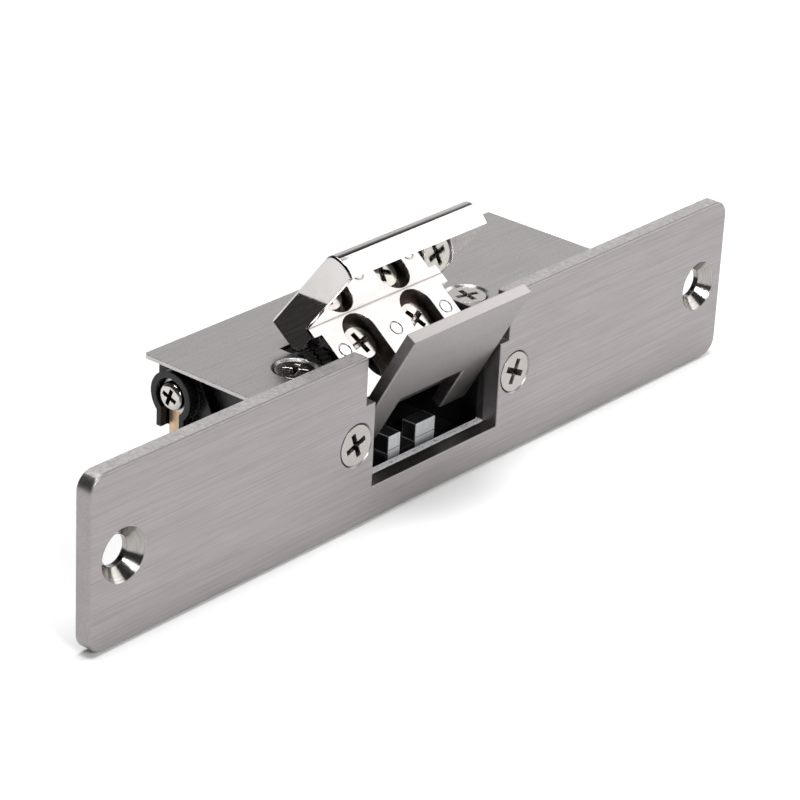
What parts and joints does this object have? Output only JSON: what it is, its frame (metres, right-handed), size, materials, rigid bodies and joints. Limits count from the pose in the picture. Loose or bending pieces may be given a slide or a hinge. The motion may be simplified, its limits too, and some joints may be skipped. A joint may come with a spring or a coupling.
{
  "type": "electric door strike",
  "caption": "Flush-mounted electric door strike with a long brushed faceplate, a swinging adjustable chromed keeper, a kicker plate and a solenoid-held lock lever in a black housing.",
  "frame": {"origin": "midway between the two mounting holes, on the rear face of the faceplate", "axes": "+X along the faceplate, -Y out of its front face towards the door's edge, +Z towards its notched open edge"},
  "size_m": [0.16, 0.0398, 0.0442],
  "materials": {
    "faceplate": "brushed along its length",
    "cover_sheet": "brushed sheet",
    "kicker": "brushed sheet",
    "chrome_lip": "bright plated casting",
    "plated_screws": "nickel plated",
    "black_casting": "black satin coating",
    "black_plastic": "moulded",
    "brass": "bare strip",
    "machined_steel": "machined",
    "zinc_steel": "zinc plated",
    "spring_steel": "drawn wire",
    "bobbin_plastic": "moulded",
    "winding": "enamelled wire under tape",
    "wire_insulation": "insulated wire"
  },
  "bodies": {
    "frame": {"faceplate": "faceplate", "faceplate_screws": "plated_screws", "housing": "black_casting", "cover": "cover_sheet", "cover_screws": "plated_screws", "terminal_block": "black_plastic", "terminal_strips": "brass", "terminal_washers": "zinc_steel", "terminal_screws": "plated_screws", "terminal_block_screw": "plated_screws", "hinge_pin": "machined_steel", "keeper_spring": "spring_steel", "stop_bracket": "machined_steel", "stop_screw": "plated_screws", "lever_pin": "machined_steel", "lever_spring": "spring_steel", "solenoid_yoke": "zinc_steel", "solenoid_core": "machined_steel", "coil_bobbin": "bobbin_plastic", "coil_winding": "winding", "yoke_screws": "plated_screws", "lead_wires": "wire_insulation"},
    "keeper": {"keeper_carrier": "black_casting", "kicker_plate": "kicker", "lip_screws": "plated_screws"},
    "lip": {"keeper_lip": "chrome_lip"},
    "lock_lever": {"lock_lever": "zinc_steel", "armature_plate": "zinc_steel", "armature_rivet": "machined_steel"}
  },
  "joints": [
    {"name": "keeper_swing", "type": "hinge", "parent": "frame", "child": "keeper", "pos_m": [0, 0.014, 0.0074], "axis": [1, 0, 0], "range_deg": [0, 61.3], "stiffness_Nm_per_rad": 0.02, "springref_deg": -34.38, "deforming": ["keeper_spring"]},
    {"name": "lip_adjust", "type": "slide", "parent": "keeper", "child": "lip", "axis": [0, 0.7955, 0.606], "range_m": [0, 0.003]},
    {"name": "lever_swing", "type": "hinge", "parent": "frame", "child": "lock_lever", "pos_m": [0.023, 0.0055, -0.00575], "axis": [0, 0, 1], "range_deg": [0, 13], "stiffness_Nm_per_rad": 0.005, "springref_deg": -22.92, "deforming": ["lever_spring"]}
  ]
}
